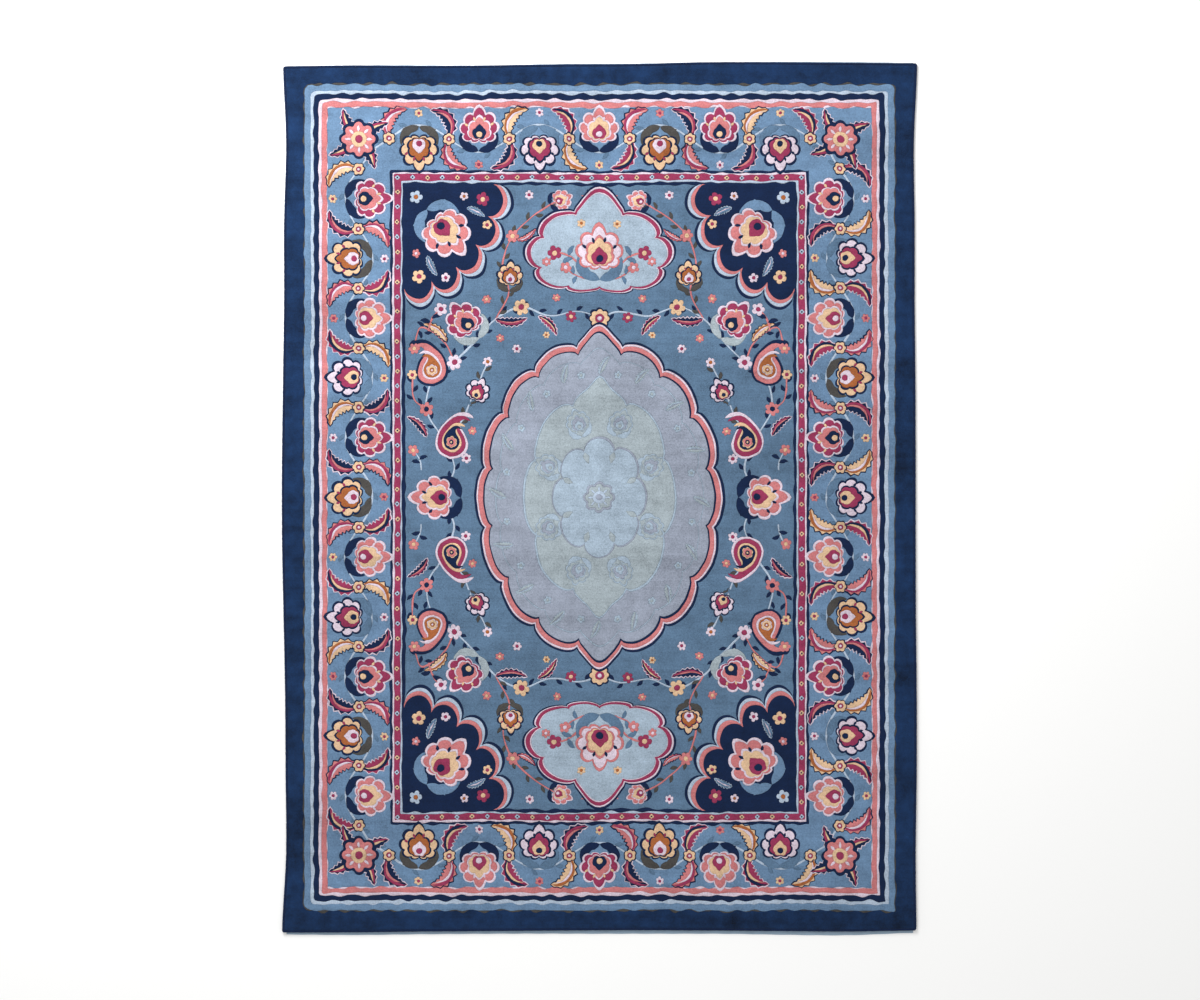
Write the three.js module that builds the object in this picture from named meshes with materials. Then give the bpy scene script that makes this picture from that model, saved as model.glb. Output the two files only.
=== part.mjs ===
// A large wool pile rug lying flat on the floor, with a flat woven band sewn along each
// short end. The band at the front end shows in full, the one at the back end is turned
// under and only its edge shows.
//
// Millimetres. +X runs across the rug, +Y along it from the front end to the back end, and
// +Z up out of the pile. The origin is on the floor under the middle of the whole rug.

import * as THREE from "three";

// Driving dimensions
const PILE_WIDTH = 2440;
const PILE_LENGTH = 3350;
const RUG_THICKNESS = 12; // foundation and cut pile together
const PILE_ROUNDING = 3; // how far the pile rolls over at the rim
const ROUNDING_STEPS = 3;
const BAND_THICKNESS = 3;
const BAND_END_SETBACK = 9; // a band stops this far short of the rug's corners
const SEAM_GAP = 0.3; // between a band and the pile cloth that it is sewn to
const OUTLINE_STEP = 60; // length of one straight stretch of an edge

// How far each edge stands out from a straight line, at even steps along it from its first
// corner to its last. The rug was cut by hand, so no edge is quite straight, and the
// corners flare a little.
const EDGE_STANDS_OUT = {
  front: [4, 3, 0, -2, -4, -5, -4, -2, 0, -4],
  right: [3, 0, 4, 4, 1, 0, 0, -1, -4, -4, -7, 6],
  back: [4, 6, 8, 8, 1, 0, -4, -6, -4, -8],
  left: [4, -8, 0, 0, 4, 8, 8, 2, -4, -6, -8, 8],
};

// The visible width of each band, at even steps along it from left to right
const BAND_SHOWS = {
  front: [9, 12, 12, 12, 13, 15, 15, 14, 16, 16, 11],
  back: [3, 2, 4, 2, 3, 4, 3, 2, 4, 5, 3],
};

// A smooth curve through a table of even steps: its point at a share along the table, from
// 0 to 1, has the value there as y
function tableCurve(values) {
  const last = values.length - 1;
  return new THREE.SplineCurve(
    values.map((value, step) => new THREE.Vector2(step / last, value)),
  );
}

// One edge of the pile cloth, as points from its first corner to its last
function edgePoints(name, from, to) {
  const along = to.clone().sub(from);
  const outward = new THREE.Vector2(along.y, -along.x).normalize();
  const curve = tableCurve(EDGE_STANDS_OUT[name]);
  const steps = Math.round(along.length() / OUTLINE_STEP);
  return Array.from({ length: steps + 1 }, (_, step) => {
    const standsOut = curve.getPoint(step / steps).y;
    return from
      .clone()
      .addScaledVector(along, step / steps)
      .addScaledVector(outward, standsOut);
  });
}

// The four edges of the pile cloth, anticlockwise from the front left corner
function pileEdges() {
  const x = PILE_WIDTH / 2;
  const y = PILE_LENGTH / 2;
  const corners = [
    new THREE.Vector2(-x, -y),
    new THREE.Vector2(x, -y),
    new THREE.Vector2(x, y),
    new THREE.Vector2(-x, y),
  ];
  const names = ["front", "right", "back", "left"];
  const edges = names.map((name, i) =>
    edgePoints(name, corners[i], corners[(i + 1) % 4]),
  );
  // Two edges share a corner, which stands out with both of them
  edges.forEach((edge, i) => {
    const next = edges[(i + 1) % 4];
    const shared = edge.pop().add(next[0]).sub(corners[(i + 1) % 4]);
    edge.push(shared);
    next[0] = shared.clone();
  });
  return Object.fromEntries(names.map((name, i) => [name, edges[i]]));
}

// The pile cloth: one slab whose rim is rolled over above and below
function pileCloth(edges) {
  const outline = Object.values(edges).flatMap((edge) => edge.slice(0, -1));
  const geometry = new THREE.ExtrudeGeometry(new THREE.Shape(outline), {
    depth: RUG_THICKNESS - 2 * PILE_ROUNDING,
    bevelThickness: PILE_ROUNDING,
    bevelSize: PILE_ROUNDING,
    bevelOffset: -PILE_ROUNDING,
    bevelSegments: ROUNDING_STEPS,
  });
  geometry.translate(0, 0, PILE_ROUNDING);
  return geometry;
}

// Where a short end, with its points from left to right, stands at a place across the rug
function endAt(end, x) {
  const next = end.findIndex((point) => point.x > x);
  const [a, b] = [end[next - 1], end[next]];
  return a.clone().lerp(b, (x - a.x) / (b.x - a.x));
}

// A band: a strip on the floor that follows one short end of the pile cloth.
// outwards is -1 at the front end and 1 at the back end.
function endBand(edge, shows, outwards) {
  const end = [...edge].sort((a, b) => a.x - b.x);
  const halfBand = PILE_WIDTH / 2 - BAND_END_SETBACK;
  const between = end.map((point) => point.x).filter((x) => Math.abs(x) < halfBand);
  const width = tableCurve(shows);
  const seam = [-halfBand, ...between, halfBand].map((x) =>
    endAt(end, x).add(new THREE.Vector2(0, outwards * SEAM_GAP)),
  );
  const rim = seam.map((point) => {
    const share = (point.x + halfBand) / (2 * halfBand);
    const visible = width.getPoint(share).y;
    return point.clone().add(new THREE.Vector2(0, outwards * visible));
  });
  const outline = new THREE.Shape([...seam, ...rim.reverse()]);
  return new THREE.ExtrudeGeometry(outline, {
    depth: BAND_THICKNESS,
    bevelEnabled: false,
  });
}

function namedMesh(name, geometry, material) {
  const mesh = new THREE.Mesh(geometry, material);
  mesh.name = name;
  return mesh;
}

const wool = new THREE.MeshStandardMaterial({
  color: "#5f7b9b",
  roughness: 0.95,
  metalness: 0,
});
const bandCotton = new THREE.MeshStandardMaterial({
  color: "#8fa5b8",
  roughness: 0.9,
  metalness: 0,
});

const edges = pileEdges();
const rug = new THREE.Group();
rug.add(
  namedMesh("pile_cloth", pileCloth(edges), wool),
  namedMesh(
    "front_end_band",
    endBand(edges.front, BAND_SHOWS.front, -1),
    bandCotton,
  ),
  namedMesh(
    "back_end_band",
    endBand(edges.back, BAND_SHOWS.back, 1),
    bandCotton,
  ),
);

// Centre the whole rug over the origin
const middle = new THREE.Box3().setFromObject(rug).getCenter(new THREE.Vector3());
rug.position.set(-middle.x, -middle.y, 0);

export default rug;
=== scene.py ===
# A large wool pile rug that lies flat on the floor. Its plain border and guard stripes frame
# a main border of flowers on a vine, and a field with a medallion, pendants and corner
# pieces. Each yarn in the table below is one piece of cut pile, carved out where it meets
# the next, and all of them stand on one woven foundation.
#
# Metres. +X runs across the rug, +Y along it from the front end to the back end, and +Z up
# out of the pile.

import math
from itertools import chain

import bpy
import numpy as np
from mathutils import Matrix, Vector
from mathutils.geometry import delaunay_2d_cdt


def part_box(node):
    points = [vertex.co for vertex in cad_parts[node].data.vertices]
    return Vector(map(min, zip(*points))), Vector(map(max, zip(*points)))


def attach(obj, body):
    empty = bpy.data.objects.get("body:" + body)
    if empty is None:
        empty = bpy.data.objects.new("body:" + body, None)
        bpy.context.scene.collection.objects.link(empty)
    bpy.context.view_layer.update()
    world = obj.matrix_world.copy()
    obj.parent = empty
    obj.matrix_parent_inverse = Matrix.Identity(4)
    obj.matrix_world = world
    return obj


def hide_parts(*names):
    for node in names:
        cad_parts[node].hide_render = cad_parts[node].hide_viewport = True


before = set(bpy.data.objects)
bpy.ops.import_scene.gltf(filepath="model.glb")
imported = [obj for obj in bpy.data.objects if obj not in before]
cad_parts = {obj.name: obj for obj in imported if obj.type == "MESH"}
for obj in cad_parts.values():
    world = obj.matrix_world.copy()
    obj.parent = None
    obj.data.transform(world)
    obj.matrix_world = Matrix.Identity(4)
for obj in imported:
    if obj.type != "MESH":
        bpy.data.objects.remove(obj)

bpy.ops.object.select_all(action="DESELECT")
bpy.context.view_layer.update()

TAU = 2 * math.pi

# The rug's sizes, from the frame
CLOTH_LOW, CLOTH_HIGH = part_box("pile_cloth")
MIDDLE = complex(*(CLOTH_LOW + CLOTH_HIGH).xy / 2)
PILE_TOP = CLOTH_HIGH.z
CORNER_FLARE = 0.007  # how far the corners stand out from the straight edges
HALF_WIDTH = (CLOTH_HIGH.x - CLOTH_LOW.x) / 2 - CORNER_FLARE
HALF_LENGTH = (CLOTH_HIGH.y - CLOTH_LOW.y) / 2 - CORNER_FLARE
RIM_FOOT = 0.003  # where the upright wall of the CAD slab begins, above the floor

# How the rug is built up
FOUNDATION_TOP = 0.0034
PILE_FOOT = FOUNDATION_TOP + 0.0002
FOUNDATION_SET_BACK = 0.0030  # the pile leans out over the foundation by this much
FOUNDATION_ROUNDING = 0.0010  # of the foundation's edges
CARVING = 0.0013  # how far the pile is rounded off where two yarns meet
RIM_ROLL = 0.0045  # how far it rolls over at the rug's edge
RIM_SHADE_WIDTH = 0.0095  # of the darker navy along the rug's edge: painted shade of the rolled edge
RIM_RAGGED = 0.0005  # how far the pile's threads stand out of line where it rolls over at the rug's edge
UNEVENNESS = 0.00009  # of the pile's height, for each of seven lengths of wave
HEIGHT_GRID = 0.034  # spacing of the places where the pile's height is set
SMALLEST_PATCH = 9e-6  # square metres: less yarn than this takes its neighbour's colour
FINE_CURVE, PLAIN_CURVE = 0.0002, 0.0005  # how far straight stretches may leave a curve
WANDER = 0.0021  # how strongly the design strays from its drawing

# The design's sizes, each measured in from the rug's edge
MAIN_BORDER_FROM = 0.170
MAIN_BORDER_TO = 0.412
FIELD_FROM = 0.471
INNER_GUARD_MIDDLE = 0.440
BORDER_MIDDLE = (MAIN_BORDER_FROM + MAIN_BORDER_TO) / 2
VINE_SWING = 0.052  # how far the border's vine swings to either side of its middle line
BORDER_LEAF = 0.150  # length of the saw-edged leaves on the vine
BORDER_PALMETTE = 0.170  # height of its large flowers

MEDALLION = (0.455, 0.600)  # half its width and half its length
INNER_MEDALLION = (0.290, 0.420)
MEDALLION_HEART = (0.178, 0.228)

STRIPES = (
    # how far in from the rug's edge it begins, corner radius, waviness, yarn
    (0.0775, 0.034, 0.0034, "charcoal"),
    (0.0810, 0.032, 0.0022, "border_blue"),
    (0.1050, 0.022, 0.0018, "aqua"),
    (0.1180, 0.018, 0.0026, "border_navy"),
    (0.1380, 0.014, 0.0022, "pink"),
    (0.1490, 0.010, 0.0020, "coral"),
    (0.1685, 0.006, 0.0034, "pink"),
    (MAIN_BORDER_FROM, 0.006, 0.0022, "border_blue"),
    (MAIN_BORDER_TO, 0.006, 0.0018, "border_navy"),
    (0.4210, 0.006, 0.0014, "pink"),
    (0.4280, 0.006, 0.0014, "raspberry"),
    (0.4520, 0.006, 0.0014, "aqua"),
    (0.4590, 0.006, 0.0016, "navy"),
    (FIELD_FROM, 0.006, 0.0022, "field_blue"),
)

YARNS = {
    # the dyed wool's colour, as sRGB hex. The darkest navy wool is two pieces, one for the
    # rim and the border and one for the field, so that neither is too large.
    "outer_navy": "#12294a",
    "border_navy": "#0e1f3e",
    "navy": "#0e1f3e",
    "border_blue": "#5f7a97",
    "field_blue": "#526b84",
    "aqua": "#9fadbe",
    "pink": "#c5b7c4",
    "coral": "#b66e70",
    "raspberry": "#883150",
    "peach": "#c8a888",
    "rust": "#965832",
    "charcoal": "#43413f",
    "lilac": "#888f9e",
    "sage": "#919ca2",
    "pale_blue": "#92a2b1",
}

draws = np.random.default_rng(7)  # with a seed, so each run draws the same


# Outlines. A place on the rug is one complex number: its real part runs across the rug and
# its imaginary part along it, so turning and sizing is one multiplication. An outline is an
# array of such places, anticlockwise. A motif is a list of patches, each a pair of an outline
# and its yarn. It is drawn upright with its foot at 0 and its height about 1, or, if it is
# seen from above, about 0 with a radius of 1.


def polar(radius_at, points):
    """The outline round 0 whose radius depends on the angle from straight up."""
    angle = np.arange(points) / points * TAU
    angle = np.where(angle > math.pi, angle - TAU, angle)
    return 1j * np.exp(1j * angle) * radius_at(angle)


def disc(radius, points):
    """A round outline about 0."""
    return polar(lambda angle: radius, points)


def scallops(angle, count, dip):
    """1 at the middle of each lobe, and 1 - dip in the cusps between them."""
    return 1 - dip * (1 - abs(np.cos(count * angle / 2)) ** 0.6)


def flower(petals, dip, points_each=7):
    """A flower's outline of radius 1 about 0."""
    return polar(lambda angle: scallops(angle, petals, dip), petals * points_each)


def bent_line(bend, points):
    """A line of length 1 from 0 that starts straight up and turns clockwise by bend in all."""
    share = (np.arange(points - 1) + 0.5) / (points - 1)
    heading = 1j * np.exp(-1j * bend * share)
    return np.concatenate([[0], np.cumsum(heading)]) / (points - 1)


def smooth_line(places, step=0.012):
    """A smooth curve through given knots, with a point at about every step."""
    knots = np.array(places, complex)
    padded = [2 * knots[0] - knots[1], *knots, 2 * knots[-1] - knots[-2]]
    pieces = []
    for a, b, c, d in zip(padded, padded[1:], padded[2:], padded[3:]):
        count = max(2, round(abs(c - b) / step))
        share = np.arange(count) / count
        line = b + (c - a) / 2 * share
        line += (a - 2.5 * b + 2 * c - d / 2) * share**2
        line += (1.5 * (b - c) + (d - a) / 2) * share**3
        pieces.append(line)
    return np.concatenate([*pieces, knots[-1:]])


def right_of(line):
    """The direction to the right of a line at each of its places."""
    along = np.gradient(line)
    return -1j * along / abs(along)


def strip(line, half_width):
    """The outline of a strip along a line. It is a leaf if it has no width at its ends."""
    shift = right_of(line) * np.broadcast_to(half_width, line.shape)
    return np.concatenate([line + shift, (line - shift)[::-1]])


def leaf(width, bend, full_at=1.0, points=13):
    """A plain pointed leaf. full_at above 1 brings its widest place nearer to the tip."""
    share = np.linspace(0, 1, points)
    half_width = width / 2 * np.sin(math.pi * share**full_at) ** 0.9
    return strip(bent_line(bend, points), half_width)


def saw_leaf(width, bend, teeth=7):
    """A long leaf with teeth that point to its tip on both sides."""
    points = 2 * teeth + 1
    share = np.linspace(0, 1, points)
    tooth = np.where(np.arange(points) % 2 == 1, 1.0, 0.62)
    half_width = width / 2 * np.sin(math.pi * share**0.85) ** 0.8 * tooth
    half_width[[0, -1]] = 0
    return strip(bent_line(bend, points), half_width)


def without_doubles(outline):
    """The outline with no place twice in a row."""
    return outline[abs(outline - np.roll(outline, 1)) > 1e-7]


def outwards(outline):
    """The direction out of an anticlockwise outline at each of its places."""
    ahead = np.roll(outline, -1) - outline
    behind = outline - np.roll(outline, 1)
    out = -1j * (ahead / abs(ahead) + behind / abs(behind))
    return out / np.maximum(abs(out), 1e-6)


def grown(outline, by):
    """The outline moved outwards all round."""
    outline = without_doubles(outline)
    return outline + by * outwards(outline)


def moved(patches, to=0j, size=1.0, turn=0.0):
    """Patches of a motif at a place on the rug, at a size and turned anticlockwise."""
    by = size * np.exp(1j * turn)
    return [(to + outline * by, yarn) for outline, yarn in patches]


def mirrored(patches, across=True, along=False):
    """Patches mirrored to the other side, to the other end or both."""
    if across:
        patches = [(-outline.conjugate()[::-1], yarn) for outline, yarn in patches]
    if along:
        patches = [(outline.conjugate()[::-1], yarn) for outline, yarn in patches]
    return patches


# Motifs


def rosette(rim, petal, ring, eye, petals=8, darts=None):
    """A flower seen from above, of radius 1 about 0."""
    patches = [(flower(petals, 0.26), rim), (0.86 * flower(petals, 0.30), petal)]
    if darts:
        dart = [(0.34 * leaf(0.42, 0) + 0.36j, darts)]
        for k in range(petals):
            patches += moved(dart, turn=TAU * k / petals)
    return patches + [(disc(0.40, 14), ring), (disc(0.20, 10), eye)]


def small_flower(petal, eye, petals=5):
    """A filler flower of two yarns, of radius 1 about 0."""
    return [(flower(petals, 0.34, 6), petal), (disc(0.36, 9), eye)]


def onion(height, width, lobes, dip, tip, points_each=6):
    """The lobed outline of a flower seen from the side, pointed at its top, about 0."""

    def radius(angle):
        waist = np.exp(-(((abs(angle) - math.pi) / 0.8) ** 2))
        point = np.exp(-((angle / 0.2) ** 2))
        bowl = 0.46 + 0.05 * np.cos(angle) - 0.13 * waist
        return bowl * scallops(angle, lobes, dip) + tip * point

    outline = polar(radius, lobes * points_each)
    return outline.real * width + 1j * outline.imag * height


PALMETTE_LEAVES = (
    # lean, bend, length, width
    (1.50, 1.5, 0.66, 0.30),
    (0.95, -0.9, 0.40, 0.36),
)
PALMETTE_LAYERS = (
    # height, width, lift, lobes, dip, tip, part
    (1.00, 1.00, 0.52, 9, 0.16, 0.10, "rim"),
    (0.90, 0.89, 0.52, 9, 0.18, 0.09, "outer"),
    (0.68, 0.62, 0.49, 7, 0.14, 0.08, "rim"),
    (0.60, 0.53, 0.49, 7, 0.14, 0.08, "inner"),
    (0.38, 0.34, 0.44, 5, 0.10, 0.10, "heart"),
)


def palmette(rim, outer, inner, heart, seed, leaves):
    """A large flower seen from the side, with leaves at its foot."""
    yarn_of = {"rim": rim, "outer": outer, "inner": inner, "heart": heart}
    patches = []
    for lean, bend, length, width in PALMETTE_LEAVES:
        blade = [(0.05j + length * leaf(width, -bend) * np.exp(-1j * lean), leaves)]
        patches += blade + mirrored(blade)
    for height, width, lift, lobes, dip, tip, part in PALMETTE_LAYERS:
        patches.append((lift * 1j + onion(height, width, lobes, dip, tip), yarn_of[part]))
    patches.append((0.44j + disc(0.07, 10), seed))
    for turn in (-0.9, -0.3, 0.3, 0.9):
        patches += moved([(0.11 * leaf(0.5, 0) + 0.31j, seed)], to=0.44j, turn=turn)
    return patches


DROP_LINE = (
    # a paisley's outline, anticlockwise from its foot
    0, 0.17 + 0.03j, 0.31 + 0.16j, 0.34 + 0.35j, 0.26 + 0.54j, 0.15 + 0.69j,
    0.13 + 0.82j, 0.22 + 0.90j, 0.40 + 0.89j, 0.27 + 0.985j, 0.07 + 0.97j,
    -0.10 + 0.84j, -0.24 + 0.66j, -0.32 + 0.46j, -0.33 + 0.26j, -0.23 + 0.08j, 0,
)


def boteh(rim, body, line, core, seed):
    """The curled drop of a paisley, four layers one in the other, with a flower in it."""
    patches = []
    for size, yarn in ((1.0, rim), (0.87, body), (0.62, line), (0.50, core)):
        drop = size * smooth_line(DROP_LINE, 0.09 / size)[:-1]
        patches.append((0.37j * (1 - size) + drop, yarn))
    return patches + moved(rosette(line, seed, core, line, petals=6), to=0.34j, size=0.12)


def feathered_leaf(rim, body, shade, vein, bend=0.9, width=0.30):
    """A long saw-edged leaf with a rim and a vein, and another yarn on one side of it."""
    blade = saw_leaf(width, bend)
    spine = bent_line(bend, 13)
    half_width = width * 0.30 * np.sin(math.pi * np.linspace(0, 1, 13) ** 0.85) ** 0.8
    shaded = np.concatenate([spine, (spine - half_width * right_of(spine))[-2:0:-1]])
    vein_patch = (0.06j + 0.84 * leaf(width * 0.20, bend), vein)
    return [(grown(blade, 0.030), rim), (blade, body), (shaded, shade), vein_patch]


def spray(stem, petal, eye, blade, bend=0.8):
    """A short stem with two leaves and a flower at its end."""
    line = bent_line(bend, 13)
    heading = np.angle(line[-1] - line[-2]) - math.pi / 2
    leaf_patch = [(0.42 * leaf(0.42, 0.9), blade)]
    return [
        (strip(line, 0.035), stem),
        *moved(leaf_patch, to=line[4], turn=-1.0),
        *moved(mirrored(leaf_patch), to=line[6], turn=0.7),
        *moved(small_flower(petal, eye), to=line[-1], size=0.26, turn=heading),
    ]


def leafy_vine(line, half_width, yarn, leaf_yarn, size=0.034, every=3):
    """A vine with small leaves on its sides in turn."""
    patches = []
    for k in range(2, len(line) - 2, every):
        heading = np.angle(line[k + 1] - line[k]) - math.pi / 2
        side = 1 if k // every % 2 else -1
        blade = [(leaf(0.42, -0.7 * side, points=9), leaf_yarn)]
        patches += moved(blade, line[k], size, heading - 1.0 * side)
    return patches + [(strip(line, half_width), yarn)]


# The chart: every patch of yarn, each laid over the ones before it

chart = []


def lay(patches):
    """Lays patches on the chart, over what it holds already."""
    chart.extend(patches)


CORNERS = (
    # side, end, direction in which its arc begins, share of a stripe's corner radius
    (1, 1, 1, 0.6),
    (-1, 1, 1j, 1.0),
    (-1, -1, -1, 0.8),
    (1, -1, -1j, 0.1),
)


def rectangle(set_back, radius, step=0.011):
    """A rectangle this far in from the rug's edge, whose corners are each a little different."""
    arcs = []
    for side, end, first, share in CORNERS:
        bend = radius * share
        reach = complex(HALF_WIDTH - set_back - bend, HALF_LENGTH - set_back - bend)
        middle = complex(side * reach.real, end * reach.imag)
        arcs.append(middle + bend * first * np.exp(1j * np.linspace(0, TAU / 4, 4)))
    outline = []
    for arc, following in zip(arcs, arcs[1:] + arcs[:1]):
        count = round(abs(following[0] - arc[-1]) / step)
        outline += [arc[:-1], np.linspace(arc[-1], following[0], count, endpoint=False)]
    return MIDDLE + np.concatenate(outline)


def wavy(outline, height, longest=0.12, shortest=0.045, waves=6):
    """The outline as a hand cuts it, with small waves of many lengths. The rug's long sides
    were cut more calmly than its ends."""
    length_ahead = abs(np.roll(outline, -1) - outline)
    around = length_ahead.sum()
    place = np.cumsum(length_ahead) / around
    shift = np.zeros(len(outline))
    for _ in range(waves):
        count = round(around / draws.uniform(shortest, longest))
        shift += np.sin(TAU * (count * place + draws.random()))
    out = outwards(outline)
    calm = 1 - 0.5 * abs(out.real)
    return outline + out * calm * shift * height / math.sqrt(waves / 2)


def corner_places(set_back):
    """The corners of a rectangle this far in from the rug's edge, anticlockwise."""
    reach = complex(HALF_WIDTH - set_back, HALF_LENGTH - set_back)
    signs = [(-1, -1), (1, -1), (1, 1), (-1, 1)]
    return [MIDDLE + complex(x * reach.real, y * reach.imag) for x, y in signs]


PALMETTE_YARNS = (
    # rim, outer, inner, heart, seed, leaves
    ("pink", "raspberry", "coral", "navy", "peach", "navy"),
    ("navy", "peach", "rust", "pink", "raspberry", "charcoal"),
    ("pink", "coral", "peach", "raspberry", "pink", "navy"),
    ("navy", "pink", "raspberry", "peach", "navy", "field_blue"),
)
LEAF_YARNS = (
    # rim, body, shade, vein
    ("pink", "navy", "raspberry", "coral"),
    ("navy", "coral", "raspberry", "pink"),
    ("pink", "raspberry", "navy", "peach"),
    ("navy", "peach", "rust", "pink"),
)


def border_side(length, repeats, first):
    """One side of the main border. Its real axis runs along the border's middle line from
    one corner and its imaginary axis points to the field."""
    half_period = length / repeats / 2
    along = np.linspace(0.05, length - 0.05, round(length / 0.012))
    vine = along + 1j * VINE_SWING * np.cos(math.pi * along / half_period)
    patches = leafy_vine(vine, 0.0038, "aqua", "field_blue", size=0.036, every=4)
    for k in range(2 * repeats):
        crossing = (k + 0.5) * half_period
        for way in (1, -1):
            if way > 0 and k in (0, 2 * repeats - 1):
                continue  # the corner's own leaves are there
            yarns = LEAF_YARNS[(k + first + (way > 0)) % 4]
            blade = feathered_leaf(*yarns, bend=2.1, width=0.37)
            lean = 0.45
            if k % 2 == 0:
                blade = mirrored(blade)
                lean = -lean
            turn = lean + (0 if way > 0 else math.pi)
            patches += moved(blade, crossing + 0.010j * way, BORDER_LEAF, turn)
        middle = rosette("navy", "peach", "raspberry", "pink", petals=6)
        patches += moved(middle, to=crossing, size=0.027)
    for k in range(1, 2 * repeats):
        inwards = 1 if k % 2 else -1
        foot = k * half_period - 1j * inwards * (VINE_SWING + 0.004)
        turn = 0 if inwards > 0 else math.pi
        yarns = PALMETTE_YARNS[(k + first) % 4]
        patches += moved(palmette(*yarns), foot, BORDER_PALMETTE, turn)
        petal = ("coral", "peach", "pink")[k % 3]
        at = foot - 0.043j * inwards
        patches += moved(small_flower(petal, "raspberry", 6), to=at, size=0.017)
    return patches


def main_border():
    """Four sides of leaves and large flowers on a vine, with a flower and leaves in each corner."""
    corners = corner_places(BORDER_MIDDLE)
    patches = []
    for k, corner in enumerate(corners):
        side = corners[(k + 1) % 4] - corner
        repeats = 6 if k % 2 else 4
        one_side = border_side(abs(side), repeats, first=k)
        patches += moved(one_side, to=corner, turn=np.angle(side))
    for corner in corners:
        for k in range(4):
            turn = math.pi / 4 + k * math.pi / 2
            blade = feathered_leaf("pink", "navy", "raspberry", "peach", bend=0.6, width=0.40)
            patches += moved(blade, to=corner, size=0.132, turn=turn)
        middle = rosette("navy", "coral", "peach", "raspberry", petals=8, darts="pink")
        patches += moved(middle, to=corner, size=0.076)
    # The border's dark navy is a piece of its own
    own = {"navy": "border_navy"}
    lay([(outline, own.get(yarn, yarn)) for outline, yarn in patches])


def inner_guard():
    """Small flowers in a row along the inner guard stripe."""
    corners = corner_places(INNER_GUARD_MIDDLE)
    for corner, following in zip(corners, corners[1:] + corners[:1]):
        count = round(abs(following - corner) / 0.058)
        for k in range(count):
            at = corner + (following - corner) * k / count
            petal = "peach" if k % 2 else "aqua"
            lay(moved(small_flower(petal, "border_navy", 4), to=at, size=0.0095))


def lobed(reach, lobes, dip, tip=0.0, grow=0.0):
    """An oval of lobes about the rug's middle, with a point at either end."""

    def radius(angle):
        shape = scallops(angle, lobes, dip)
        for end in (0, math.pi):
            shape = shape + tip * np.exp(-(((abs(angle) - end) / 0.11) ** 2))
        return shape

    outline = polar(radius, lobes * 18)
    half_width, half_length = reach[0] + grow, reach[1] + grow
    return MIDDLE + outline.real * half_width + 1j * outline.imag * half_length


MEDALLION_RINGS = (
    # how far out, dip of the cusps, height of the points, yarn
    (0.030, 0.055, 0.07, "navy"),
    (0.021, 0.056, 0.07, "pink"),
    (0.014, 0.058, 0.07, "coral"),
    (-0.004, 0.060, 0.07, "navy"),
    (-0.010, 0.062, 0.07, "lilac"),
    (-0.050, 0.050, 0.05, "pale_blue"),
    (-0.054, 0.050, 0.05, "lilac"),
)


def around_medallion(count, share, reach=MEDALLION, shift=0.0):
    """Evenly turned places on an oval inside the medallion, each with its turn."""
    for k in range(count):
        angle = TAU * (k + shift) / count
        at = share * complex(-reach[0] * math.sin(angle), reach[1] * math.cos(angle))
        yield MIDDLE + at, np.angle(at) - math.pi / 2


def medallion():
    """The calm middle of the rug, in pale yarns that are close to each other."""
    for grow, dip, tip, yarn in MEDALLION_RINGS:
        lay([(lobed(MEDALLION, 16, dip, tip, grow), yarn)])
    yarns = ("pale_blue", "sage", "pale_blue", "lilac")
    blade = feathered_leaf(*yarns, bend=0.5, width=0.36)
    for at, turn in around_medallion(16, 0.795):
        lay(moved(blade, to=at, size=0.075, turn=turn - 0.25))
    for at, turn in around_medallion(16, 0.80, shift=0.5):
        lay(moved(small_flower("pale_blue", "sage"), to=at, size=0.016, turn=turn))
    lay([(lobed(INNER_MEDALLION, 8, 0.10, 0.10, 0.008), "pale_blue")])
    lay([(lobed(INNER_MEDALLION, 8, 0.10, 0.10), "sage")])
    bloom = palmette("pale_blue", "sage", "lilac", "pale_blue", "sage", "pale_blue")
    for at, turn in around_medallion(8, 0.70, INNER_MEDALLION, shift=0.5):
        foot = at - 0.045 * np.exp(1j * (turn + TAU / 4))
        lay(moved(bloom, to=foot, size=0.105, turn=turn))
    lay([(lobed(MEDALLION_HEART, 8, 0.16, 0.0, 0.006), "lilac")])
    lay([(lobed(MEDALLION_HEART, 8, 0.16), "pale_blue")])
    for at, turn in around_medallion(8, 0.62, MEDALLION_HEART, shift=0.5):
        lay(moved([(leaf(0.5, 0.0, 1.2), "sage")], to=at, size=0.045, turn=turn))
    middle = rosette("lilac", "sage", "aqua", "lilac", petals=8, darts="aqua")
    lay(moved(middle, to=MIDDLE, size=0.062))


PENDANT_FOOT = 0.700  # from the rug's middle
PENDANT_RINGS = (
    # size, yarn
    (1.075, "navy"),
    (1.045, "pink"),
    (1.020, "raspberry"),
    (0.965, "pink"),
    (0.950, "pale_blue"),
)


def pendant():
    """One end's pendant. It stands over the medallion's tip and points to the rug's end."""
    foot = PENDANT_FOOT * 1j
    middle = foot + 0.215j
    shape = onion(0.42, 0.60, 9, 0.12, 0.14, points_each=16)
    patches = [(middle + size * shape, yarn) for size, yarn in PENDANT_RINGS]
    long_spray = spray("coral", "raspberry", "peach", "field_blue", 1.0)
    low_spray = spray("coral", "coral", "pink", "field_blue", -0.5)
    half = [
        *moved(long_spray, middle + 0.080 - 0.020j, size=0.110, turn=-0.60),
        *moved(low_spray, middle + 0.060 - 0.070j, size=0.085, turn=-1.30),
        *moved(small_flower("coral", "pink", 6), middle + 0.205 - 0.005j, size=0.018),
        *moved(small_flower("peach", "rust", 6), middle + 0.070 + 0.140j, size=0.017),
    ]
    patches += half + mirrored(half)
    crown = palmette("coral", "pink", "peach", "raspberry", "navy", "field_blue")
    patches += moved(crown, middle - 0.085j, size=0.205)
    foot_flower = rosette("navy", "peach", "raspberry", "pink")
    patches += moved(foot_flower, foot - 0.012j, size=0.044)
    return patches


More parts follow.
